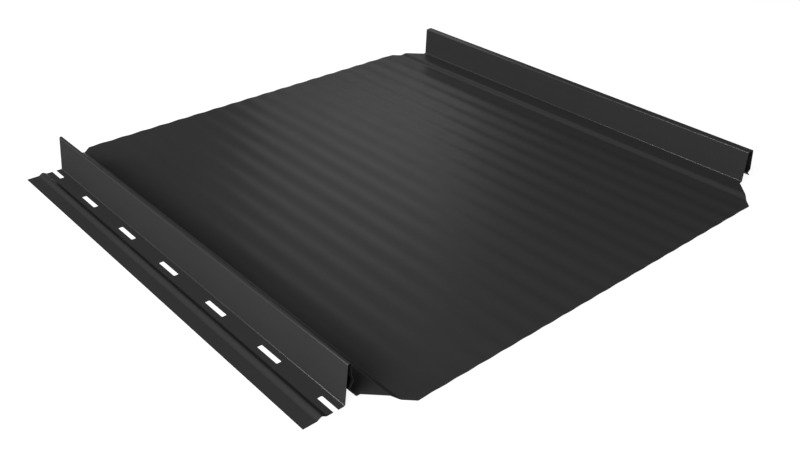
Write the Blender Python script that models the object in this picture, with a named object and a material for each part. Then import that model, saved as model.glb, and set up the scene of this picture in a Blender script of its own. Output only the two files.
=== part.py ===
"""Click-lock standing seam roof panel: one strip of coil-coated steel, punched and roll-formed.

The section is drawn along the coated face, from the nailing flange's edge on the left to the
lead-in lip on the right, and the sheet's thickness lies on the other side of that line. The strip
runs along Y. The panel rests on the underside of its pan at Z = 0, with its origin at the middle
of its footprint. Units are metres.
"""

import math

import bmesh
import bpy

# Sheet
PANEL_LENGTH = 0.500
COVER_WIDTH = 0.475  # from a point on one panel to the same point on the next panel
SHEET_THICKNESS = 0.0005
BEND_RADIUS = 0.0010  # sharp bends, on the coated face
RIB_TOP_RADIUS = 0.0014  # bends along the tops of both ribs, on the coated face

# Nailing flange
FLANGE_WIDTH = 0.034
BEAD_SETBACK = 0.01875  # web foot to the bead's crest
BEAD_WIDTH = 0.0095
BEAD_HEIGHT = 0.0020
SLOT_SETBACK = 0.0073  # web foot to the slots' centre line
SLOT_WIDTH = 0.0042
SLOT_LENGTH = 0.0251
SLOT_CORNER_RADIUS = 0.0008
SLOT_PITCH = 0.0723

# Male rib
RIB_HEIGHT = 0.0329
RIB_LEAN = 0.0037  # how far the web leans towards the pan over the rib's height
RIB_TOP_WIDTH = 0.0030
RIB_FOOT_WIDTH = 0.0103
UNDERCUT_RISE = 0.0082  # margin up to the undercut
UNDERCUT_DEPTH = 0.0024  # how far the undercut goes in behind the return leg
BARB_RISE = 0.0060  # undercut up to the barb
BARB_REACH = 0.0018  # how far the barb stands out past the return leg
BARB_RADIUS = 0.0012
FLARE_RISE = 0.0050  # barb up to where the return leg's straight run ends

# Raised margins beside the ribs
MARGIN_RISE = 0.0031
MALE_MARGIN_WIDTH = 0.0174
FEMALE_MARGIN_WIDTH = 0.0190
MARGIN_SLOPE_RUN = 0.0050
MARGIN_SLOPE_RADIUS = 0.0020

# Pan waves
WAVE_COUNT = 18
WAVE_DEPTH = 0.0005
WAVE_BORDER = 0.0095  # flat strip between a slope and the first wave

# Female rib, which snaps over the next panel's male rib
WEB_CLEARANCE = 0.0003  # between the two webs at their foot
CAP_TOP_CLEARANCE = 0.0002
CAP_SIDE_CLEARANCE = 0.0021  # on each side of the male rib's top
LEG_FLARE = 0.0021  # how far the outer leg leans out on its way down
SNAP_CATCH = 0.0009  # how far the hook reaches in under the barb
HOOK_DROP = 0.0014  # undercut down to the hook
HOOK_RISE = 0.0024  # hook up to the leg's lower bend
LIP_REACH = 0.0035
LIP_CLEARANCE = 0.0034  # lip's edge above the next panel's margin

# Ends
TAB_LENGTH = 0.0275  # pan that reaches past the end of the ribs
NOTCH_SETBACK = 0.0030  # rib foot to the start of the notch's 45 degree edge

# Facets
BEND_STEP = math.radians(12)
POINTS_PER_WAVE = 12
POINTS_PER_BEAD = 16
FACETS_PER_SLOT_CORNER = 4
SHARP_ANGLE = math.radians(30)
CUTTER_REACH = 0.005  # how far a cutter goes past the sheet that it cuts

# Coating
COATING_COLOUR = (0.030, 0.030, 0.031)
COATING_ROUGHNESS = 0.38

RIB_LENGTH = PANEL_LENGTH - 2 * TAB_LENGTH
UNDERCUT_HEIGHT = MARGIN_RISE + UNDERCUT_RISE


def clear_scene():
    """Remove whatever the scene holds."""
    for obj in list(bpy.data.objects):
        bpy.data.objects.remove(obj, do_unlink=True)


def flange_points():
    """Outer strip and bead. The slot strip runs from here to the bend at the web's foot."""
    points = [(-FLANGE_WIDTH, 0.0, 0.0)]
    bead_start = -BEAD_SETBACK - BEAD_WIDTH / 2
    for step in range(POINTS_PER_BEAD + 1):
        share = step / POINTS_PER_BEAD
        height = BEAD_HEIGHT * (1 - math.cos(2 * math.pi * share)) / 2
        points.append((bead_start + BEAD_WIDTH * share, height, 0.0))
    return points


def male_rib_points():
    """Web, top, return leg, barb, undercut and foot."""
    leg_x = RIB_LEAN + RIB_TOP_WIDTH
    barb_z = UNDERCUT_HEIGHT + BARB_RISE
    return [
        (0.0, 0.0, BEND_RADIUS),
        (RIB_LEAN, RIB_HEIGHT, RIB_TOP_RADIUS),
        (leg_x, RIB_HEIGHT, RIB_TOP_RADIUS),
        (leg_x, barb_z + FLARE_RISE, 2 * BARB_RADIUS),
        (leg_x + BARB_REACH, barb_z, BARB_RADIUS),
        (leg_x - UNDERCUT_DEPTH, UNDERCUT_HEIGHT, BARB_RADIUS),
        (RIB_FOOT_WIDTH, MARGIN_RISE, BEND_RADIUS),
    ]


def female_foot_x():
    """The female web's foot, where it clears the next panel's male web."""
    next_web_x = COVER_WIDTH + RIB_LEAN * MARGIN_RISE / RIB_HEIGHT
    return next_web_x - WEB_CLEARANCE - SHEET_THICKNESS


def pan_points():
    """Slope down from the left margin, flat border, waves, flat border and slope up."""
    left_margin_x = RIB_FOOT_WIDTH + MALE_MARGIN_WIDTH
    right_margin_x = female_foot_x() - FEMALE_MARGIN_WIDTH
    pan_left_x = left_margin_x + MARGIN_SLOPE_RUN
    pan_right_x = right_margin_x - MARGIN_SLOPE_RUN
    points = [
        (left_margin_x, MARGIN_RISE, MARGIN_SLOPE_RADIUS),
        (pan_left_x, 0.0, MARGIN_SLOPE_RADIUS),
    ]
    waves_start = pan_left_x + WAVE_BORDER
    waves_width = pan_right_x - WAVE_BORDER - waves_start
    steps = WAVE_COUNT * POINTS_PER_WAVE
    for step in range(steps + 1):
        phase = 2 * math.pi * step / POINTS_PER_WAVE
        height = WAVE_DEPTH * (1 - math.cos(phase)) / 2
        points.append((waves_start + waves_width * step / steps, height, 0.0))
    points.append((pan_right_x, 0.0, MARGIN_SLOPE_RADIUS))
    points.append((right_margin_x, MARGIN_RISE, MARGIN_SLOPE_RADIUS))
    return points


def female_rib_points():
    """Web, cap, flared leg, hook and lip, set out around the next panel's male rib."""
    male_left_x = COVER_WIDTH + RIB_LEAN
    male_right_x = male_left_x + RIB_TOP_WIDTH
    cap_gap = CAP_SIDE_CLEARANCE + SHEET_THICKNESS
    cap_z = RIB_HEIGHT + CAP_TOP_CLEARANCE + SHEET_THICKNESS
    leg_x = male_right_x + cap_gap + LEG_FLARE
    hook_x = male_right_x + BARB_REACH - SNAP_CATCH + SHEET_THICKNESS
    hook_z = UNDERCUT_HEIGHT - HOOK_DROP
    return [
        (female_foot_x(), MARGIN_RISE, BEND_RADIUS),
        (male_left_x - cap_gap, cap_z, RIB_TOP_RADIUS),
        (male_right_x + cap_gap, cap_z, RIB_TOP_RADIUS),
        (leg_x, hook_z + HOOK_RISE, BARB_RADIUS),
        (hook_x, hook_z, BEND_RADIUS / 2),
        (hook_x + LIP_REACH, MARGIN_RISE + LIP_CLEARANCE, 0.0),
    ]


def bend_points(before, corner, after):
    """Points along the arc that rounds a corner, touching both of its straight runs."""
    x, z, radius = corner
    heading_in = math.atan2(z - before[1], x - before[0])
    heading_out = math.atan2(after[1] - z, after[0] - x)
    turn = math.remainder(heading_out - heading_in, 2 * math.pi)
    signed_radius = math.copysign(radius, turn)
    setback = radius * math.tan(abs(turn) / 2)
    centre_x = x - setback * math.cos(heading_in) - signed_radius * math.sin(heading_in)
    centre_z = z - setback * math.sin(heading_in) + signed_radius * math.cos(heading_in)
    steps = max(2, math.ceil(abs(turn) / BEND_STEP))
    points = []
    for step in range(steps + 1):
        heading = heading_in + turn * step / steps
        arc_x = centre_x + signed_radius * math.sin(heading)
        arc_z = centre_z - signed_radius * math.cos(heading)
        points.append((arc_x, arc_z))
    return points


def section_line():
    """The whole section along the coated face, moved so that X = 0 is its middle."""
    corners = flange_points() + male_rib_points() + pan_points() + female_rib_points()
    line = []
    for index, corner in enumerate(corners):
        if corner[2] > 0.0:
            line += bend_points(corners[index - 1], corner, corners[index + 1])
        else:
            line.append(corner[:2])
    middle_x = (min(x for x, _ in line) + max(x for x, _ in line)) / 2
    return [(x - middle_x, z + SHEET_THICKNESS) for x, z in line], middle_x


def make_strip(line):
    """The coated face as a strip along Y, made solid on its far side by a modifier."""
    builder = bmesh.new()
    near = [builder.verts.new((x, -PANEL_LENGTH / 2, z)) for x, z in line]
    far = [builder.verts.new((x, PANEL_LENGTH / 2, z)) for x, z in line]
    for index in range(len(line) - 1):
        builder.faces.new((near[index], near[index + 1], far[index + 1], far[index]))
    mesh = bpy.data.meshes.new("roof_panel")
    builder.to_mesh(mesh)
    builder.free()
    panel = bpy.data.objects.new("roof_panel", mesh)
    bpy.context.scene.collection.objects.link(panel)
    solidify = panel.modifiers.new("sheet_thickness", "SOLIDIFY")
    solidify.thickness = SHEET_THICKNESS
    solidify.offset = -1.0
    solidify.use_even_offset = True
    return panel


def make_cutter(name, outline, height, cutters):
    """A prism with this plan outline, from below the sheet up to a height."""
    builder = bmesh.new()
    base = builder.faces.new([builder.verts.new((x, y, -CUTTER_REACH)) for x, y in outline])
    extruded = bmesh.ops.extrude_face_region(builder, geom=[base])["geom"]
    top = [item for item in extruded if isinstance(item, bmesh.types.BMVert)]
    bmesh.ops.translate(builder, verts=top, vec=(0.0, 0.0, height + CUTTER_REACH))
    bmesh.ops.recalc_face_normals(builder, faces=builder.faces)
    mesh = bpy.data.meshes.new(name)
    builder.to_mesh(mesh)
    builder.free()
    cutter = bpy.data.objects.new(name, mesh)
    cutter.hide_render = True
    cutter.display_type = "WIRE"
    cutters.objects.link(cutter)


def notch_outline(side_x, foot_x, end):
    """Plan of a corner notch: square across the rib, then at 45 degrees to the tab's end.

    side_x is the panel's edge, foot_x the rib's foot on the pan side, end -1 near and 1 far.
    """
    outward = math.copysign(1.0, side_x - foot_x)
    turn_x = foot_x - outward * NOTCH_SETBACK
    tip_reach = TAB_LENGTH + CUTTER_REACH
    return [
        (side_x + outward * CUTTER_REACH, end * RIB_LENGTH / 2),
        (turn_x, end * RIB_LENGTH / 2),
        (turn_x - outward * tip_reach, end * (RIB_LENGTH / 2 + tip_reach)),
        (side_x + outward * CUTTER_REACH, end * (RIB_LENGTH / 2 + tip_reach)),
    ]


def slot_outline(centre_x, centre_y):
    """Plan of a fastening slot with rounded corners."""
    corner_x = SLOT_WIDTH / 2 - SLOT_CORNER_RADIUS
    corner_y = SLOT_LENGTH / 2 - SLOT_CORNER_RADIUS
    outline = []
    for quarter, (side, end) in enumerate(((1, 1), (-1, 1), (-1, -1), (1, -1))):
        for step in range(FACETS_PER_SLOT_CORNER + 1):
            angle = math.pi / 2 * (quarter + step / FACETS_PER_SLOT_CORNER)
            x = centre_x + side * corner_x + SLOT_CORNER_RADIUS * math.cos(angle)
            y = centre_y + end * corner_y + SLOT_CORNER_RADIUS * math.sin(angle)
            outline.append((x, y))
    return outline


def slot_centres():
    """Places along the flange, one slot at mid-length and the rest a pitch apart.

    The row runs on past both ends of the flange, so an end may cut through a slot.
    """
    reach = RIB_LENGTH / 2 + SLOT_LENGTH / 2
    pitches = math.floor(reach / SLOT_PITCH)
    return [index * SLOT_PITCH for index in range(-pitches, pitches + 1)]


def cut_panel(panel, line, middle_x):
    """Punch the slots and notch the four corners, then keep the result as the panel's mesh."""
    cutters = bpy.data.collections.new("cutters")
    bpy.context.scene.collection.children.link(cutters)
    above = max(z for _, z in line) + CUTTER_REACH
    sides = (("male", line[0][0], RIB_FOOT_WIDTH), ("female", -line[0][0], female_foot_x()))
    for side, edge_x, foot_x in sides:
        for end_name, end in (("near", -1), ("far", 1)):
            outline = notch_outline(edge_x, foot_x - middle_x, end)
            make_cutter(f"{side}_{end_name}_notch", outline, above, cutters)
    for number, centre_y in enumerate(slot_centres(), start=1):
        outline = slot_outline(-SLOT_SETBACK - middle_x, centre_y)
        make_cutter(f"slot_{number}", outline, SHEET_THICKNESS + CUTTER_REACH, cutters)
    cut = panel.modifiers.new("slots_and_notches", "BOOLEAN")
    cut.operation = "DIFFERENCE"
    cut.solver = "EXACT"
    cut.operand_type = "COLLECTION"
    cut.collection = cutters


def shade_by_angle(panel):
    """Apply the modifiers, then shade bends and waves smooth and keep cut edges crisp."""
    graph = bpy.context.evaluated_depsgraph_get()
    solid = bpy.data.meshes.new_from_object(panel.evaluated_get(graph), depsgraph=graph)
    panel.modifiers.clear()
    panel.data = solid
    solid.shade_smooth()
    solid.set_sharp_from_angle(angle=SHARP_ANGLE)


def make_coating():
    """Charcoal coil coating with a satin sheen."""
    material = bpy.data.materials.new("coil_coating")
    material.use_nodes = True
    shader = material.node_tree.nodes["Principled BSDF"]
    shader.inputs["Base Color"].default_value = (*COATING_COLOUR, 1.0)
    shader.inputs["Roughness"].default_value = COATING_ROUGHNESS
    shader.inputs["Metallic"].default_value = 0.0
    return material


def main():
    """Build the panel."""
    clear_scene()
    line, middle_x = section_line()
    panel = make_strip(line)
    cut_panel(panel, line, middle_x)
    shade_by_angle(panel)
    panel.data.materials.clear()
    panel.data.materials.append(make_coating())


main()
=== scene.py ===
"""A click-lock standing seam roof panel, dressed in charcoal coil coating for a catalogue picture.

The panel is one roll-formed sheet. Its coated face is drawn as a section line from the nailing
flange's edge to the lead-in lip, swept along Y, given its thickness on the far side of that line
and rolled over at every sheared edge. Units are metres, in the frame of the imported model.
"""

import logging
import math
from dataclasses import dataclass, field
from enum import Enum
from typing import NamedTuple

import bpy
import numpy as np
from mathutils import Matrix, Vector
from mathutils.geometry import delaunay_2d_cdt


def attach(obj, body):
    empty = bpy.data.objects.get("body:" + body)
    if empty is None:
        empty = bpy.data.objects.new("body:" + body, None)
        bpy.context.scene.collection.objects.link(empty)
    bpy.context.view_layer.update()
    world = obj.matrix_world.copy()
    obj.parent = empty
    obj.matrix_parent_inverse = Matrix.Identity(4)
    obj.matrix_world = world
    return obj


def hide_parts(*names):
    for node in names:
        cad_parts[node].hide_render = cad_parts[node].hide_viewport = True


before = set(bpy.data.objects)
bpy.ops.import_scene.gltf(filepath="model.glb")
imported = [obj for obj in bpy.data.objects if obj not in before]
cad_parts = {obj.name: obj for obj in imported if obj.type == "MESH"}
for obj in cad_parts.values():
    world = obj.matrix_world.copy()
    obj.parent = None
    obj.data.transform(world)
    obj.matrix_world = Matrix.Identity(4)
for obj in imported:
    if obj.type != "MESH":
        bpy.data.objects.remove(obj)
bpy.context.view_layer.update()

LOG = logging.getLogger("roof_panel")
IMAGE_WIDTH = 800
SENSOR_WIDTH = 36.0  # millimetres, as a camera's data holds it
NOISE_LOW = 0.3  # the range that most of a noise texture keeps to
NOISE_HIGH = 0.7
FINE_DETAIL = 2.0  # octaves of the finest noises
MERGE_DISTANCE = 1e-7  # metres, under which two points in plan are one


class Face(Enum):
    """The kinds of surface on the sheet, each with its place in the list of materials."""

    COATED = 0
    BACKING = 1
    SHEARED = 2
    BURNISHED = 3
    RUBBED = 4


class PanelEnd(Enum):
    """An end of the panel, with the way that it faces along Y."""

    NEAR = -1
    FAR = 1


class Corner(NamedTuple):
    """A corner of the section. One without a radius is a point of a run that heads as it says.

    The rolls burnish a share of its arc, about the arc's middle, and may rub the run after it.
    """

    x: float
    z: float
    radius: float = 0.0
    heading: float = 0.0
    burnished: float = 0.0
    run_after: Face = Face.COATED


class Station(NamedTuple):
    """A point on the coated face, with the section line's heading and the surface after it."""

    x: float
    z: float
    heading: float
    kind: Face = Face.COATED


class CoatedFace(NamedTuple):
    """The swept coated face, with the points behind it on the backing face."""

    points: list[np.ndarray]
    normals: list[np.ndarray]
    behind: list[np.ndarray]
    faces: dict[tuple[int, ...], Face]

    def free_edges(self) -> list[tuple[int, int]]:
        """Find the edges that only one face has, where the sheet was cut.

        Returns:
            The start and end of each, with the sheet on its left.
        """
        edges: dict[tuple[int, int], None] = {}
        for face in self.faces:
            for index, start in enumerate(face):
                edges[(start, face[(index + 1) % len(face)])] = None
        return [(start, end) for start, end in edges if (end, start) not in edges]

    def way_out(self, start: int, end: int) -> np.ndarray:
        """Find the direction from a cut edge away from the sheet.

        Args:
            start: The point at the edge's start.
            end: The point at its end.

        Returns:
            The direction, one metre long.
        """
        run = self.points[end] - self.points[start]
        across = np.cross(run, self.normals[start] + self.normals[end])
        return across / np.linalg.norm(across)

    def ways_out(self, rim: list[tuple[int, int]]) -> dict[int, np.ndarray]:
        """Find the way out at each point of the rim, longer where two cut edges meet.

        Args:
            rim: The cut edges.

        Returns:
            The way out at each of their points.
        """
        sides: dict[int, list[np.ndarray]] = {}
        for start, end in rim:
            across = self.way_out(start, end)
            sides.setdefault(start, []).append(across)
            sides.setdefault(end, []).append(across)
        return {
            number: sum(ways) / (1.0 + float(np.dot(ways[0], ways[-1])))
            for number, ways in sides.items()
        }


@dataclass
class Sheet:
    """The strip of coated steel that is fed to the rolls."""

    length: float = 0.500
    thickness: float = 0.0005
    cover_width: float = 0.475
    bend_radius: float = 0.0010
    rollover: float = 0.00008  # rounding that the shear leaves on the coated side


@dataclass
class NailingFlange:
    """Slotted strip outside the male rib, with a stiffening bead."""

    sheet: Sheet
    width: float = 0.034
    bead_setback: float = 0.01875
    bead_width: float = 0.0095
    bead_height: float = 0.0020
    bead_points: int = 32
    slot_setback: float = 0.0073
    slot_width: float = 0.0042
    slot_length: float = 0.0251
    slot_corner: float = 0.0008
    slot_pitch: float = 0.0723
    slot_corner_facets: int = 8

    def corners(self) -> list[Corner]:
        """Set out the outer strip and the bead.

        Returns:
            The section's corners from the flange's edge to the slot strip.
        """
        points = [Corner(-self.width, 0.0)]
        start = -self.bead_setback - self.bead_width / 2
        for step in range(self.bead_points + 1):
            share = step / self.bead_points
            phase = 2 * math.pi * share
            height = self.bead_height * (1 - math.cos(phase)) / 2
            slope = math.pi * self.bead_height / self.bead_width * math.sin(phase)
            points.append(Corner(start + self.bead_width * share, height, 0.0, math.atan(slope)))
        return points

    def slot_centres(self, rib_length: float) -> list[float]:
        """Give the slots' places along Y, as a row that the ends of the flange cut through.

        Args:
            rib_length: Length of the flange and ribs.

        Returns:
            The Y of each slot's centre.
        """
        reach = rib_length / 2 + self.slot_length / 2
        count = math.floor(reach / self.slot_pitch)
        return [index * self.slot_pitch for index in range(-count, count + 1)]

    def slot_outline(self, centre_x: float, centre_y: float) -> list[tuple[float, float]]:
        """Draw a slot's plan with rounded corners, counter-clockwise.

        Args:
            centre_x: X of the slot's centre.
            centre_y: Y of the slot's centre.

        Returns:
            The outline's points.
        """
        corner_x = self.slot_width / 2 - self.slot_corner
        corner_y = self.slot_length / 2 - self.slot_corner
        outline = []
        for quarter, (side, end) in enumerate(((1, 1), (-1, 1), (-1, -1), (1, -1))):
            for step in range(self.slot_corner_facets + 1):
                angle = math.pi / 2 * (quarter + step / self.slot_corner_facets)
                x = centre_x + side * corner_x + self.slot_corner * math.cos(angle)
                y = centre_y + end * corner_y + self.slot_corner * math.sin(angle)
                outline.append((x, y))
        return outline


@dataclass
class Margin:
    """Raised flat strip beside each rib, with a slope down to the pan."""

    rise: float = 0.0031
    male_width: float = 0.0174
    female_width: float = 0.0190
    male_slope_run: float = 0.0050
    male_slope_radius: float = 0.0020
    female_slope_run: float = 0.0038
    female_slope_radius: float = 0.0045


@dataclass
class MaleRib:
    """Rib that the next panel snaps onto, with its barb and undercut on the pan side."""

    sheet: Sheet
    margin: Margin
    height: float = 0.0329
    lean: float = 0.0037
    top_width: float = 0.0030
    top_radius: float = 0.0014
    foot_width: float = 0.0103
    undercut_rise: float = 0.0082
    undercut_depth: float = 0.0024
    barb_rise: float = 0.0060
    barb_reach: float = 0.0018
    barb_radius: float = 0.0012
    flare_rise: float = 0.0050
    foot_burnish: float = 0.45
    top_burnish: float = 0.25

    def undercut_height(self) -> float:
        """Give the undercut's height over the pan."""
        return self.margin.rise + self.undercut_rise

    def corners(self) -> list[Corner]:
        """Set out the web, top, return leg, barb, undercut and foot.

        Returns:
            The section's corners from the web's foot to the margin.
        """
        bend = self.sheet.bend_radius
        leg_x = self.lean + self.top_width
        barb_z = self.undercut_height() + self.barb_rise
        return [
            Corner(0.0, 0.0, bend, burnished=self.foot_burnish, run_after=Face.RUBBED),
            Corner(self.lean, self.height, self.top_radius, burnished=self.top_burnish),
            Corner(leg_x, self.height, self.top_radius),
            Corner(leg_x, barb_z + self.flare_rise, 2 * self.barb_radius),
            Corner(leg_x + self.barb_reach, barb_z, self.barb_radius),
            Corner(leg_x - self.undercut_depth, self.undercut_height(), self.barb_radius),
            Corner(self.foot_width, self.margin.rise, bend),
        ]


@dataclass
class FemaleRib:
    """Rib that snaps over the next panel's male rib, set out around it."""

    sheet: Sheet
    male: MaleRib
    web_clearance: float = 0.0003
    top_clearance: float = 0.0002
    side_clearance: float = 0.0021
    leg_flare: float = 0.0021
    snap_catch: float = 0.0009
    hook_drop: float = 0.0014
    hook_rise: float = 0.0024
    lip_reach: float = 0.0035
    lip_clearance: float = 0.0034
    foot_burnish: float = 0.6
    cap_burnish: float = 0.5

    def foot_x(self) -> float:
        """Place the web's foot clear of the next panel's male web.

        Returns:
            The foot's X.
        """
        rise = self.male.margin.rise
        next_web_x = self.sheet.cover_width + self.male.lean * rise / self.male.height
        return next_web_x - self.web_clearance - self.sheet.thickness

    def corners(self) -> list[Corner]:
        """Set out the web, cap, flared leg, hook and lip.

        Returns:
            The section's corners from the web's foot to the lip's edge.
        """
        rise = self.male.margin.rise
        bend = self.sheet.bend_radius
        male_left = self.sheet.cover_width + self.male.lean
        male_right = male_left + self.male.top_width
        gap = self.side_clearance + self.sheet.thickness
        cap_z = self.male.height + self.top_clearance + self.sheet.thickness
        leg_x = male_right + gap + self.leg_flare
        hook_x = male_right + self.male.barb_reach - self.snap_catch + self.sheet.thickness
        hook_z = self.male.undercut_height() - self.hook_drop
        lip_x = hook_x + self.lip_reach
        lip_z = rise + self.lip_clearance
        return [
            Corner(self.foot_x(), rise, bend, burnished=self.foot_burnish, run_after=Face.RUBBED),
            Corner(male_left - gap, cap_z, self.male.top_radius, burnished=self.cap_burnish),
            Corner(male_right + gap, cap_z, self.male.top_radius),
            Corner(leg_x, hook_z + self.hook_rise, self.male.barb_radius),
            Corner(hook_x, hook_z, bend / 2),
            Corner(lip_x, lip_z, 0.0, math.atan2(lip_z - hook_z, lip_x - hook_x)),
        ]


@dataclass
class EndNotches:
    """Corner notches that leave a tab of pan past each end of the ribs."""

    tab_length: float = 0.0275
    setback: float = 0.0030

    def reach(self, x: float, left_foot: float, right_foot: float, rib_half: float) -> float:
        """Find how far the sheet reaches from mid-length at a place across the panel.

        Args:
            x: Place across the panel.
            left_foot: Foot of the male rib on the pan side.
            right_foot: Foot of the female web.
            rib_half: Half the length of the ribs.

        Returns:
            The distance from mid-length to either end.
        """
        from_left = x - left_foot - self.setback
        from_right = right_foot - self.setback - x
        return rib_half + min(max(min(from_left, from_right), 0.0), self.tab_length)


@dataclass
class WavedPan:
    """Pan between the ribs: slopes from the margins, flat borders and shallow waves."""

    margin: Margin
    male: MaleRib
    female: FemaleRib
    notches: EndNotches
    wave_count: int = 18
    wave_depth: float = 0.0005
    male_border: float = 0.0105
    female_border: float = 0.0119
    points_per_wave: int = 24

    def corners(self) -> list[Corner]:
        """Set out the pan, with a point wherever a notch's edge turns.

        Returns:
            The section's corners from the left margin to the right margin.
        """
        margin = self.margin
        left_margin = self.male.foot_width + margin.male_width
        right_margin = self.female.foot_x() - margin.female_width
        pan_left = left_margin + margin.male_slope_run
        pan_right = right_margin - margin.female_slope_run
        left_turn = self.male.foot_width + self.notches.setback
        right_turn = self.female.foot_x() - self.notches.setback
        start = pan_left + self.male_border
        pitch = (pan_right - self.female_border - start) / self.wave_count
        points = [
            Corner(left_turn, margin.rise),
            Corner(left_margin, margin.rise, margin.male_slope_radius),
            Corner(pan_left, 0.0, margin.male_slope_radius),
            Corner(left_turn + self.notches.tab_length, 0.0),
        ]
        for step in range(self.wave_count * self.points_per_wave + 1):
            share = step / self.points_per_wave
            phase = 2 * math.pi * share
            height = self.wave_depth * (1 - math.cos(phase)) / 2
            slope = math.pi * self.wave_depth / pitch * math.sin(phase)
            points.append(Corner(start + pitch * share, height, 0.0, math.atan(slope)))
        points += [
            Corner(right_turn - self.notches.tab_length, 0.0),
            Corner(pan_right, 0.0, margin.female_slope_radius),
            Corner(right_margin, margin.rise, margin.female_slope_radius),
            Corner(right_turn, margin.rise),
        ]
        return points


class Shell:
    """Collects a sheet's vertices and faces, with a true normal for every face's corner."""

    def __init__(self) -> None:
        """Start with an empty shell."""
        self.points: list[np.ndarray] = []
        self.faces: list[tuple[int, ...]] = []
        self.normals: list[tuple[np.ndarray, ...]] = []
        self.kinds: list[Face] = []

    def add_point(self, point: np.ndarray) -> int:
        """Add a vertex and give its number."""
        self.points.append(point)
        return len(self.points) - 1

    def add_face(self, corners: list[int], normals: list[np.ndarray], kind: Face) -> None:
        """Add a face.

        Args:
            corners: Its vertices, counter-clockwise from outside.
            normals: The surface's normal at each of them.
            kind: The kind of surface it belongs to.
        """
        self.faces.append(tuple(corners))
        self.normals.append(tuple(normals))
        self.kinds.append(kind)

    def mesh(self, name: str) -> bpy.types.Mesh:
        """Turn the shell into a mesh.

        Args:
            name: The mesh's name.

        Returns:
            The mesh, with the collected normals and material numbers.
        """
        mesh = bpy.data.meshes.new(name)
        mesh.from_pydata([tuple(map(float, point)) for point in self.points], [], self.faces)
        mesh.polygons.foreach_set("material_index", [kind.value for kind in self.kinds])
        mesh.shade_smooth()
        mesh.normals_split_custom_set([tuple(n) for face in self.normals for n in face])
        mesh.update()
        return mesh


@dataclass(frozen=True)
class CoilCoating:
    """Satin polyester coil coating: a fine orange peel over colour that barely varies."""

    name: str = "satin_coil_coating"
    colour: tuple[float, float, float] = (0.025, 0.025, 0.025)
    variation: float = 0.04
    roughness: float = 0.33
    roughness_spread: float = 0.02
    specular: float = 0.025
    peel_size: float = 0.0012
    peel_depth: float = 0.000004
    streak_width: float = 0.012
    streak_squeeze: float = 0.04  # share of a streak's scale that is left along the sheet
    cloud_scale: float = 9.0
    cloud_detail: float = 3.0
    grain_scale: float = 60.0
    grain_detail: float = 4.0

    def make(self) -> bpy.types.Material:
        """Build the material.

        Returns:
            The finished material.
        """
        material, shader = new_material(self.name)
        tree = material.node_tree
        position = tree.nodes.new("ShaderNodeTexCoord").outputs["Object"]
        streaks = stretched_noise(tree, position, 1 / self.streak_width, self.streak_squeeze)
        cloud = noise(tree, position, self.cloud_scale, self.cloud_detail)
        mottle = mean_value(tree, streaks, cloud)
        tint = spread(tree, mottle, 1.0, self.variation)
        tree.links.new(tinted(tree, self.colour, tint), shader.inputs["Base Color"])
        grain = noise(tree, position, self.grain_scale, self.grain_detail)
        rough = spread(tree, grain, self.roughness, self.roughness_spread)
        tree.links.new(rough, shader.inputs["Roughness"])
        shader.inputs["Specular IOR Level"].default_value = self.specular
        peel = noise(tree, position, 1 / self.peel_size, FINE_DETAIL)
        tree.links.new(bump(tree, peel, self.peel_depth), shader.inputs["Normal"])
        return material


@dataclass(frozen=True)
class BurnishedCoating(CoilCoating):
    """The coating as the rolls leave it on the bends of the webs, glossier than the rest."""

    name: str = "burnished_coating"
    roughness: float = 0.22
    specular: float = 0.5


@dataclass(frozen=True)
class RubbedCoating(CoilCoating):
    """The coating as the side rolls leave it on the webs, rubbed matt."""

    name: str = "rubbed_coating"
    roughness: float = 0.5
    specular: float = 0.0


@dataclass(frozen=True)
class BackingCoat:
    """Thin matt coat on the underside, with the faint marks that the rolls leave along it."""

    name: str = "backing_coat"
    colour: tuple[float, float, float] = (0.010, 0.010, 0.010)
    variation: float = 0.08
    roughness: float = 0.60
    roughness_spread: float = 0.04
    specular: float = 0.10
    mark_width: float = 0.0035
    mark_depth: float = 0.000006
    mark_squeeze: float = 0.02  # share of a mark's scale that is left along the sheet
    grain_scale: float = 80.0
    grain_detail: float = 3.0

    def make(self) -> bpy.types.Material:
        """Build the material.

        Returns:
            The finished material.
        """
        material, shader = new_material(self.name)
        tree = material.node_tree
        position = tree.nodes.new("ShaderNodeTexCoord").outputs["Object"]
        marks = stretched_noise(tree, position, 1 / self.mark_width, self.mark_squeeze)
        tint = spread(tree, marks, 1.0, self.variation)
        tree.links.new(tinted(tree, self.colour, tint), shader.inputs["Base Color"])
        grain = noise(tree, position, self.grain_scale, self.grain_detail)
        rough = spread(tree, grain, self.roughness, self.roughness_spread)
        tree.links.new(rough, shader.inputs["Roughness"])
        shader.inputs["Specular IOR Level"].default_value = self.specular
        tree.links.new(bump(tree, marks, self.mark_depth), shader.inputs["Normal"])
        return material


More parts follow.
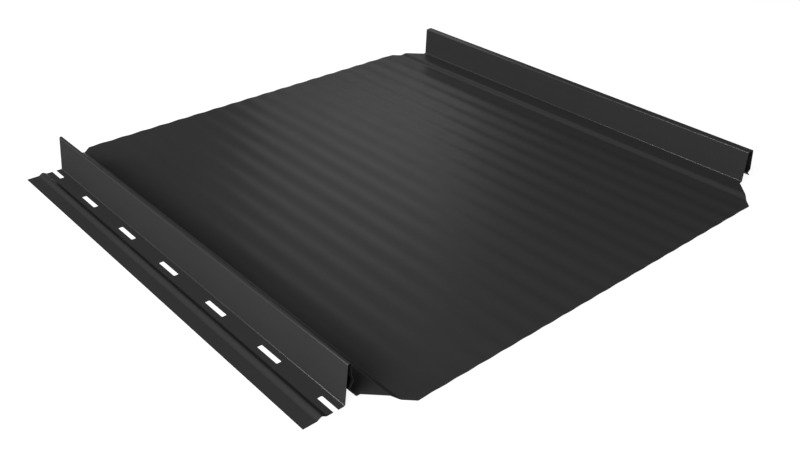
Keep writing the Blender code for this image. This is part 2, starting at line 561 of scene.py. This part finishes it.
@dataclass(frozen=True)
class ShearedEdge:
    """Bare steel edge, darkened by the coating that the shear drags over it."""

    name: str = "sheared_edge"
    colour: tuple[float, float, float] = (0.012, 0.012, 0.012)
    dragged: tuple[float, float, float] = (0.006, 0.006, 0.006)
    roughness: float = 0.50
    roughness_spread: float = 0.08
    specular: float = 0.08
    drag_width: float = 0.0004
    drag_depth: float = 0.00001

    def make(self) -> bpy.types.Material:
        """Build the material.

        Returns:
            The finished material.
        """
        material, shader = new_material(self.name)
        tree = material.node_tree
        position = tree.nodes.new("ShaderNodeTexCoord").outputs["Object"]
        drag = noise(tree, position, 1 / self.drag_width, FINE_DETAIL)
        colour = tree.nodes.new("ShaderNodeMix")
        colour.data_type = "RGBA"
        colour.inputs["A"].default_value = (*self.dragged, 1.0)
        colour.inputs["B"].default_value = (*self.colour, 1.0)
        tree.links.new(drag, colour.inputs["Factor"])
        tree.links.new(colour.outputs["Result"], shader.inputs["Base Color"])
        rough = spread(tree, drag, self.roughness, self.roughness_spread)
        tree.links.new(rough, shader.inputs["Roughness"])
        shader.inputs["Specular IOR Level"].default_value = self.specular
        tree.links.new(bump(tree, drag, self.drag_depth), shader.inputs["Normal"])
        return material


def new_material(name: str) -> tuple[bpy.types.Material, bpy.types.ShaderNode]:
    """Make a material with a principled shader.

    Args:
        name: The material's name.

    Returns:
        The material and its shader node.
    """
    material = bpy.data.materials.new(name)
    material.use_nodes = True
    return material, material.node_tree.nodes["Principled BSDF"]


def noise(
    tree: bpy.types.NodeTree, vector: bpy.types.NodeSocket, scale: float, detail: float
) -> bpy.types.NodeSocket:
    """Add a noise texture.

    Args:
        tree: The node tree.
        vector: Where the noise is read.
        scale: Features in a metre.
        detail: Octaves.

    Returns:
        The noise value's socket.
    """
    texture = tree.nodes.new("ShaderNodeTexNoise")
    texture.inputs["Scale"].default_value = scale
    texture.inputs["Detail"].default_value = detail
    tree.links.new(vector, texture.inputs["Vector"])
    return texture.outputs["Fac"]


def stretched_noise(
    tree: bpy.types.NodeTree, vector: bpy.types.NodeSocket, scale: float, squeeze: float
) -> bpy.types.NodeSocket:
    """Add noise that runs lengthways, as marks of the rolls do.

    Args:
        tree: The node tree.
        vector: Where the noise is read.
        scale: Features in a metre across the sheet.
        squeeze: Share of that scale along the sheet.

    Returns:
        The noise value's socket.
    """
    mapping = tree.nodes.new("ShaderNodeMapping")
    mapping.inputs["Scale"].default_value = (1.0, squeeze, 1.0)
    tree.links.new(vector, mapping.inputs["Vector"])
    return noise(tree, mapping.outputs["Vector"], scale, FINE_DETAIL)


def mean_value(
    tree: bpy.types.NodeTree, first: bpy.types.NodeSocket, second: bpy.types.NodeSocket
) -> bpy.types.NodeSocket:
    """Blend two values half and half.

    Args:
        tree: The node tree.
        first: One value.
        second: The other value.

    Returns:
        The blended value's socket.
    """
    mix = tree.nodes.new("ShaderNodeMix")
    mix.inputs["Factor"].default_value = 0.5
    tree.links.new(first, mix.inputs["A"])
    tree.links.new(second, mix.inputs["B"])
    return mix.outputs["Result"]


def tinted(
    tree: bpy.types.NodeTree, colour: tuple[float, float, float], tint: bpy.types.NodeSocket
) -> bpy.types.NodeSocket:
    """Multiply a colour by a tint.

    Args:
        tree: The node tree.
        colour: The plain colour.
        tint: The tint's socket, about 1.

    Returns:
        The tinted colour's socket.
    """
    mix = tree.nodes.new("ShaderNodeMix")
    mix.data_type = "RGBA"
    mix.blend_type = "MULTIPLY"
    mix.inputs["Factor"].default_value = 1.0
    mix.inputs["A"].default_value = (*colour, 1.0)
    tree.links.new(tint, mix.inputs["B"])
    return mix.outputs["Result"]


def spread(
    tree: bpy.types.NodeTree, value: bpy.types.NodeSocket, middle: float, either_way: float
) -> bpy.types.NodeSocket:
    """Map a noise to values about a middle.

    Args:
        tree: The node tree.
        value: The noise value.
        middle: Result at the noise's middle.
        either_way: How far the result goes from there, either way.

    Returns:
        The result's socket.
    """
    ramp = tree.nodes.new("ShaderNodeMapRange")
    ramp.inputs["From Min"].default_value = NOISE_LOW
    ramp.inputs["From Max"].default_value = NOISE_HIGH
    ramp.inputs["To Min"].default_value = middle - either_way
    ramp.inputs["To Max"].default_value = middle + either_way
    tree.links.new(value, ramp.inputs["Value"])
    return ramp.outputs["Result"]


def bump(
    tree: bpy.types.NodeTree, height: bpy.types.NodeSocket, depth: float
) -> bpy.types.NodeSocket:
    """Add a bump of a real depth.

    Args:
        tree: The node tree.
        height: The height's socket.
        depth: Depth in metres between a height of 0 and 1.

    Returns:
        The normal's socket.
    """
    node = tree.nodes.new("ShaderNodeBump")
    node.inputs["Strength"].default_value = 1.0
    node.inputs["Distance"].default_value = depth
    tree.links.new(height, node.inputs["Height"])
    return node.outputs["Normal"]


@dataclass
class RoofPanel:
    """The whole panel, made as one sheet and dressed with its finishes."""

    sheet: Sheet = field(default_factory=Sheet)
    margin: Margin = field(default_factory=Margin)
    notches: EndNotches = field(default_factory=EndNotches)
    bend_step: float = math.radians(6)
    fewest_bend_steps: int = 3
    rows: int = 16
    rollover_steps: int = 3
    coating: CoilCoating = field(default_factory=CoilCoating)
    backing: BackingCoat = field(default_factory=BackingCoat)
    sheared: ShearedEdge = field(default_factory=ShearedEdge)
    burnished: BurnishedCoating = field(default_factory=BurnishedCoating)
    rubbed: RubbedCoating = field(default_factory=RubbedCoating)

    def __post_init__(self) -> None:
        """Set out the flange, ribs and pan from the sheet and margins."""
        self.flange = NailingFlange(self.sheet)
        self.male = MaleRib(self.sheet, self.margin)
        self.female = FemaleRib(self.sheet, self.male)
        self.pan = WavedPan(self.margin, self.male, self.female, self.notches)
        self.rib_half = self.sheet.length / 2 - self.notches.tab_length
        self.middle_x = 0.0
        self.middle_x = self.find_middle()

    def find_middle(self) -> float:
        """Give the middle of the section's extent along X."""
        xs = [station.x for station in self.stations()]
        return (min(xs) + max(xs)) / 2

    def bend(self, before: Corner, corner: Corner, after: Corner) -> list[Station]:
        """Round a corner with an arc that touches both of its straight runs.

        Args:
            before: The corner before it.
            corner: The corner, with its radius.
            after: The corner after it.

        Returns:
            The stations along the arc.
        """
        heading_in = math.atan2(corner.z - before.z, corner.x - before.x)
        heading_out = math.atan2(after.z - corner.z, after.x - corner.x)
        turn = math.remainder(heading_out - heading_in, 2 * math.pi)
        radius = math.copysign(corner.radius, turn)
        setback = corner.radius * math.tan(abs(turn) / 2)
        centre_x = corner.x - setback * math.cos(heading_in) - radius * math.sin(heading_in)
        centre_z = corner.z - setback * math.sin(heading_in) + radius * math.cos(heading_in)
        steps = max(self.fewest_bend_steps, math.ceil(abs(turn) / self.bend_step))
        stations = []
        for step in range(steps + 1):
            heading = heading_in + turn * step / steps
            x = centre_x + radius * math.sin(heading)
            z = centre_z - radius * math.cos(heading)
            from_middle = max(abs(step / steps - 0.5), abs((step + 1) / steps - 0.5))
            kind = Face.BURNISHED if from_middle < corner.burnished / 2 else Face.COATED
            stations.append(Station(x, z, heading, kind))
        stations[-1] = stations[-1]._replace(kind=corner.run_after)
        return stations

    def stations(self) -> list[Station]:
        """Run the whole section along the coated face.

        Returns:
            Its stations, from the flange's edge to the lip, about the section's middle.
        """
        corners = self.flange.corners() + self.male.corners()
        corners += self.pan.corners() + self.female.corners()
        line: list[Station] = []
        for index, corner in enumerate(corners):
            if corner.radius > 0.0:
                line += self.bend(corners[index - 1], corner, corners[index + 1])
            else:
                line.append(Station(corner.x, corner.z, corner.heading))
        lift = self.sheet.thickness
        return [s._replace(x=s.x - self.middle_x, z=s.z + lift) for s in line]

    def reach(self, x: float) -> float:
        """Find how far the sheet reaches from mid-length.

        Args:
            x: Place across the panel, from the section's middle.

        Returns:
            The distance from mid-length to either end.
        """
        left = self.male.foot_width - self.middle_x
        right = self.female.foot_x() - self.middle_x
        return self.notches.reach(x, left, right, self.rib_half)

    def slot_strip(
        self, left: list[tuple[float, float]], right: list[tuple[float, float]]
    ) -> tuple[list[tuple[float, float]], list[tuple[int, ...]]]:
        """Fill the flat strip between the bead and the web around its slots.

        Args:
            left: Points down the bead's side, near to far.
            right: Points up the web's side, near to far.

        Returns:
            The strip's points and triangles in plan.
        """
        centre_x = -self.flange.slot_setback - self.middle_x
        outline = list(left[:1])
        whole: list[list[tuple[float, float]]] = []
        open_near: list[tuple[float, float]] = []
        open_far: list[tuple[float, float]] = []
        for centre_y in self.flange.slot_centres(self.rib_half * 2):
            slot = self.flange.slot_outline(centre_x, centre_y)
            if centre_y - self.flange.slot_length / 2 < -self.rib_half:
                open_near = self.opened(slot, PanelEnd.NEAR)
            elif centre_y + self.flange.slot_length / 2 > self.rib_half:
                open_far = self.opened(slot, PanelEnd.FAR)
            else:
                whole.append(slot)
        outline += open_near + list(right) + open_far + list(reversed(left[1:]))
        points = list(outline)
        loops = [list(range(len(outline)))]
        for slot in whole:
            loops.append(list(range(len(points), len(points) + len(slot))))
            points += slot
        result = delaunay_2d_cdt([Vector(p) for p in points], [], loops, 1, MERGE_DISTANCE)
        faces = []
        for triangle, sources in zip(result[2], result[5]):
            if list(sources) == [0]:
                faces.append(tuple(triangle))
        return [(p.x, p.y) for p in result[0]], faces

    def opened(
        self, slot: list[tuple[float, float]], end: PanelEnd
    ) -> list[tuple[float, float]]:
        """Cut a slot open at an end of the flange.

        Args:
            slot: The slot's outline.
            end: The end that cuts it.

        Returns:
            The part of its outline that is left, in the order of the strip's own outline.
        """
        edge = end.value * self.rib_half
        kept = [point for point in slot if point[1] * end.value < self.rib_half]
        kept.sort(key=lambda point: math.atan2(*self.from_mouth(point, edge, end)))
        first_x, last_x = kept[0][0], kept[-1][0]
        return [(first_x, edge), *kept, (last_x, edge)]

    def from_mouth(
        self, point: tuple[float, float], edge: float, end: PanelEnd
    ) -> tuple[float, float]:
        """Give a point's place seen from the middle of an open slot's mouth."""
        across = point[0] + self.flange.slot_setback + self.middle_x
        return across * -end.value, abs(point[1] - edge)

    def coated_face(self) -> CoatedFace:
        """Sweep the section along Y between the notches, with the slots left out.

        Returns:
            The coated face.
        """
        swept = CoatedFace([], [], [], {})
        stations = self.stations()
        for station in stations:
            normal = np.array((-math.sin(station.heading), 0.0, math.cos(station.heading)))
            back_x = station.x - self.sheet.thickness * normal[0]
            back_z = station.z - self.sheet.thickness * normal[2]
            for row in range(self.rows + 1):
                share = 2 * row / self.rows - 1
                place = (station.x, share * self.reach(station.x), station.z)
                swept.points.append(np.array(place))
                swept.behind.append(np.array((back_x, share * self.reach(back_x), back_z)))
                swept.normals.append(normal)
        strip = len(self.flange.corners()) - 1
        step = self.rows + 1
        for column in range(len(stations) - 1):
            if column == strip:
                continue
            for row in range(self.rows):
                a = column * step + row
                swept.faces[(a, a + step, a + step + 1, a + 1)] = stations[column].kind
        self.add_slot_strip(swept, strip * step)
        return swept

    def add_slot_strip(self, swept: CoatedFace, first: int) -> None:
        """Add the slotted strip between the swept bead and the swept web.

        Args:
            swept: The coated face without the strip.
            first: Number of the first point down the bead's side.
        """
        step = self.rows + 1
        sides = [(float(p[0]), float(p[1])) for p in swept.points[first:first + 2 * step]]
        plan, triangles = self.slot_strip(sides[:step], sides[step:])
        numbers = {self.key(point): first + index for index, point in enumerate(sides)}
        up = np.array((0.0, 0.0, 1.0))
        for point in plan:
            if self.key(point) not in numbers:
                numbers[self.key(point)] = len(swept.points)
                swept.points.append(np.array((*point, self.sheet.thickness)))
                swept.behind.append(np.array((*point, 0.0)))
                swept.normals.append(up)
        for triangle in triangles:
            face = tuple(numbers[self.key(plan[corner])] for corner in triangle)
            swept.faces[face] = Face.COATED

    @staticmethod
    def key(point: tuple[float, float]) -> tuple[int, int]:
        """Give a plan point's place in whole merge distances."""
        return round(point[0] / MERGE_DISTANCE), round(point[1] / MERGE_DISTANCE)

    def build(self) -> bpy.types.Object:
        """Make the sheet's two faces and the sheared edge between them.

        Returns:
            The panel's object.
        """
        swept = self.coated_face()
        normals = swept.normals
        rim = swept.free_edges()
        ways = swept.ways_out(rim)
        shell = Shell()
        for number, point in enumerate(swept.points):
            inset = ways[number] * self.sheet.rollover if number in ways else 0.0
            shell.add_point(point - inset)
        for face, kind in swept.faces.items():
            shell.add_face(list(face), [normals[i] for i in face], kind)
        back = [shell.add_point(point) for point in swept.behind]
        for face in swept.faces:
            turned = list(reversed(face))
            shell.add_face([back[i] for i in turned], [-normals[i] for i in turned], Face.BACKING)
        rings = self.rollover_rings(shell, swept, ways)
        for start, end in rim:
            self.add_cut_edge(shell, swept, rings, (start, end), (back[start], back[end]))
        panel = bpy.data.objects.new("formed_sheet", shell.mesh("formed_sheet"))
        bpy.context.scene.collection.objects.link(panel)
        return panel

    def rollover_angles(self) -> list[float]:
        """Give the turn from the coated face at each step over the rolled edge."""
        steps = self.rollover_steps
        return [math.pi / 2 * step / steps for step in range(steps + 1)]

    def rollover_rings(
        self, shell: Shell, swept: CoatedFace, ways: dict[int, np.ndarray]
    ) -> dict[int, list[int]]:
        """Add the points that round the coated face over at the rim.

        Args:
            shell: The shell to add to.
            swept: The coated face.
            ways: The way out at each point of the rim.

        Returns:
            The points over the rolled edge at each point of the rim, coated face first.
        """
        radius = self.sheet.rollover
        rings = {}
        for number, way in ways.items():
            rings[number] = [number]
            for angle in self.rollover_angles()[1:]:
                inward = radius * (math.sin(angle) - 1.0)
                drop = radius * (1.0 - math.cos(angle))
                place = swept.points[number] + way * inward - swept.normals[number] * drop
                rings[number].append(shell.add_point(place))
        return rings

    def add_cut_edge(
        self,
        shell: Shell,
        swept: CoatedFace,
        rings: dict[int, list[int]],
        edge: tuple[int, int],
        backs: tuple[int, int],
    ) -> None:
        """Add the rolled edge and the sheared face along one edge of the rim.

        Args:
            shell: The shell to add to.
            swept: The coated face.
            rings: The points over the rolled edge at each point of the rim.
            edge: The edge's start and end on the coated face.
            backs: The points behind them.
        """
        start, end = edge
        across = swept.way_out(start, end)
        angles = self.rollover_angles()
        for upper in range(self.rollover_steps):
            lower = upper + 1
            slant = []
            for number, level in ((start, lower), (end, lower), (end, upper), (start, upper)):
                sideways = math.sin(angles[level]) * across
                slant.append(sideways + math.cos(angles[level]) * swept.normals[number])
            corners = [rings[start][lower], rings[end][lower]]
            corners += [rings[end][upper], rings[start][upper]]
            shell.add_face(corners, slant, Face.COATED)
        corners = [*backs, rings[end][-1], rings[start][-1]]
        shell.add_face(corners, [across] * len(corners), Face.SHEARED)

    def dress(self, panel: bpy.types.Object) -> None:
        """Put the finishes on the sheet, hang it under the root body and hide the imported panel
        that it stands in for.

        Args:
            panel: The panel's object.
        """
        finishes = {
            Face.COATED: self.coating,
            Face.BACKING: self.backing,
            Face.SHEARED: self.sheared,
            Face.BURNISHED: self.burnished,
            Face.RUBBED: self.rubbed,
        }
        for kind in Face:
            panel.data.materials.append(finishes[kind].make())
        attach(panel, "root")
        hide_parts("roof_panel")


@dataclass
class PaleFloor:
    """Plain white floor with a low round wall far away, which shows white to the camera."""

    radius: float = 25.0
    wall_height: float = 4.0
    sides: int = 64
    drop: float = 0.00005
    albedo: float = 0.80
    seen_albedo: float = 0.15
    seen_glow: float = 0.92

    def build(self) -> bpy.types.Object:
        """Make the floor just under the panel, and the wall around it.

        Returns:
            The floor's object.
        """
        rim = []
        for side in range(self.sides):
            angle = 2 * math.pi * side / self.sides
            rim.append((self.radius * math.cos(angle), self.radius * math.sin(angle)))
        points = [(x, y, z) for z in (-self.drop, self.wall_height) for x, y in rim]
        faces: list[tuple[int, ...]] = [tuple(range(self.sides))]
        for side in range(self.sides):
            after = (side + 1) % self.sides
            faces.append((after, side, side + self.sides, after + self.sides))
        mesh = bpy.data.meshes.new("studio_floor")
        mesh.from_pydata(points, [], faces)
        floor = bpy.data.objects.new("studio_floor", mesh)
        bpy.context.scene.collection.objects.link(floor)
        return floor

    def dress(self, floor: bpy.types.Object) -> None:
        """Give the floor its white paper.

        Args:
            floor: The floor's object.
        """
        material = bpy.data.materials.new("white_paper")
        material.use_nodes = True
        tree = material.node_tree
        tree.nodes.clear()
        paper = tree.nodes.new("ShaderNodeBsdfDiffuse")
        paper.inputs["Color"].default_value = (self.albedo,) * 3 + (1.0,)
        seen_paper = tree.nodes.new("ShaderNodeBsdfDiffuse")
        seen_paper.inputs["Color"].default_value = (self.seen_albedo,) * 3 + (1.0,)
        glow = tree.nodes.new("ShaderNodeEmission")
        glow.inputs["Strength"].default_value = self.seen_glow
        seen = tree.nodes.new("ShaderNodeAddShader")
        tree.links.new(seen_paper.outputs[0], seen.inputs[0])
        tree.links.new(glow.outputs[0], seen.inputs[1])
        choice = tree.nodes.new("ShaderNodeMixShader")
        tree.links.new(background_rays(tree), choice.inputs["Fac"])
        tree.links.new(paper.outputs[0], choice.inputs[1])
        tree.links.new(seen.outputs[0], choice.inputs[2])
        output = tree.nodes.new("ShaderNodeOutputMaterial")
        tree.links.new(choice.outputs[0], output.inputs["Surface"])
        floor.data.materials.append(material)


def background_rays(tree: bpy.types.NodeTree) -> bpy.types.NodeSocket:
    """Find the rays that should meet the plain white background.

    Args:
        tree: The node tree.

    Returns:
        A socket that is 1 for camera, glossy and transmission rays.
    """
    path = tree.nodes.new("ShaderNodeLightPath")
    first = tree.nodes.new("ShaderNodeMath")
    first.operation = "MAXIMUM"
    tree.links.new(path.outputs["Is Camera Ray"], first.inputs[0])
    tree.links.new(path.outputs["Is Glossy Ray"], first.inputs[1])
    second = tree.nodes.new("ShaderNodeMath")
    second.operation = "MAXIMUM"
    tree.links.new(first.outputs[0], second.inputs[0])
    tree.links.new(path.outputs["Is Transmission Ray"], second.inputs[1])
    return second.outputs[0]


class Softbox(NamedTuple):
    """An area lamp that faces the middle of the panel."""

    name: str
    azimuth: float  # degrees from +X towards +Y
    elevation: float  # degrees over the floor
    distance: float
    width: float
    height: float
    radiance: float


@dataclass
class SoftStudio:
    """Softboxes around the panel and a dim even light from all round."""

    fill: float = 0.115
    aim: tuple[float, float, float] = (0.0, 0.0, 0.0)
    softboxes: tuple[Softbox, ...] = (
        Softbox("key_softbox", 199.0, 38.0, 2.2, 1.4, 1.2, 11.4),
        Softbox("side_softbox", 156.0, 25.0, 2.2, 0.8, 0.8, 11.8),
        Softbox("far_softbox", 46.1, 26.3, 1.084, 0.40, 0.40, 1.00),
        Softbox("sheen_lamp", 54.3, 28.4, 0.630, 0.34, 0.34, 1.84),
    )

    def build(self) -> None:
        """Hang the softboxes and set the light from all round."""
        for box in self.softboxes:
            self.hang(box)
        world = bpy.data.worlds.new("studio_room")
        world.use_nodes = True
        shader = world.node_tree.nodes["Background"]
        shader.inputs["Color"].default_value = (1.0, 1.0, 1.0, 1.0)
        shader.inputs["Strength"].default_value = self.fill
        bpy.context.scene.world = world

    def hang(self, box: Softbox) -> bpy.types.Object:
        """Hang one softbox.

        Args:
            box: Its place, size and brightness.

        Returns:
            The lamp's object.
        """
        lamp = bpy.data.lights.new(box.name, "AREA")
        lamp.shape = "RECTANGLE"
        lamp.size = box.width
        lamp.size_y = box.height
        lamp.energy = box.radiance * math.pi * box.width * box.height
        azimuth, elevation = math.radians(box.azimuth), math.radians(box.elevation)
        way = Vector(
            (
                math.cos(azimuth) * math.cos(elevation),
                math.sin(azimuth) * math.cos(elevation),
                math.sin(elevation),
            )
        )
        obj = bpy.data.objects.new(box.name, lamp)
        obj.location = Vector(self.aim) + way * box.distance
        obj.rotation_mode = "QUATERNION"
        obj.rotation_quaternion = (-way).to_track_quat("-Z", "Y")
        obj.visible_camera = False
        bpy.context.scene.collection.objects.link(obj)
        return obj


@dataclass
class CatalogueCamera:
    """Camera at the picture's viewing angle."""

    focal_pixels: float = 942.60
    pitch: float = 0.5397  # radians down from the level
    yaw: float = 0.7153  # radians from +Y towards +X
    roll: float = 0.0056
    place: tuple[float, float, float] = (-0.5100, -0.60395, 0.42437)
    nearest: float = 0.01
    farthest: float = 100.0

    def build(self) -> bpy.types.Object:
        """Make the camera and use it.

        Returns:
            The camera's object.
        """
        sin_yaw, cos_yaw = math.sin(self.yaw), math.cos(self.yaw)
        sin_pitch, cos_pitch = math.sin(self.pitch), math.cos(self.pitch)
        ahead = Vector((sin_yaw * cos_pitch, cos_yaw * cos_pitch, -sin_pitch))
        level = Vector((cos_yaw, -sin_yaw, 0.0))
        upright = level.cross(ahead)
        right = level * math.cos(self.roll) + upright * math.sin(self.roll)
        up = upright * math.cos(self.roll) - level * math.sin(self.roll)
        data = bpy.data.cameras.new("catalogue_camera")
        data.sensor_fit = "HORIZONTAL"
        data.sensor_width = SENSOR_WIDTH
        data.lens = self.focal_pixels / IMAGE_WIDTH * SENSOR_WIDTH
        data.clip_start = self.nearest
        data.clip_end = self.farthest
        camera = bpy.data.objects.new("catalogue_camera", data)
        columns = Matrix((right, up, -ahead)).transposed().to_4x4()
        camera.matrix_world = Matrix.Translation(self.place) @ columns
        bpy.context.scene.collection.objects.link(camera)
        bpy.context.scene.camera = camera
        return camera


def main() -> None:
    """Build the panel, the stage and the camera, and report each."""
    logging.basicConfig(level=logging.INFO, format="%(name)s: %(message)s")
    bpy.context.scene.view_settings.view_transform = "Standard"
    design = RoofPanel()
    panel = design.build()
    design.dress(panel)
    LOG.info("%s: %d faces", panel.name, len(panel.data.polygons))
    stage = PaleFloor()
    floor = stage.build()
    stage.dress(floor)
    LOG.info("%s: %.1f m across", floor.name, 2 * stage.radius)
    studio = SoftStudio()
    studio.build()
    LOG.info("softboxes: %d", len(studio.softboxes))
    camera = CatalogueCamera().build()
    LOG.info("%s: lens %.2f mm", camera.name, camera.data.lens)


if __name__ == "__main__":
    main()
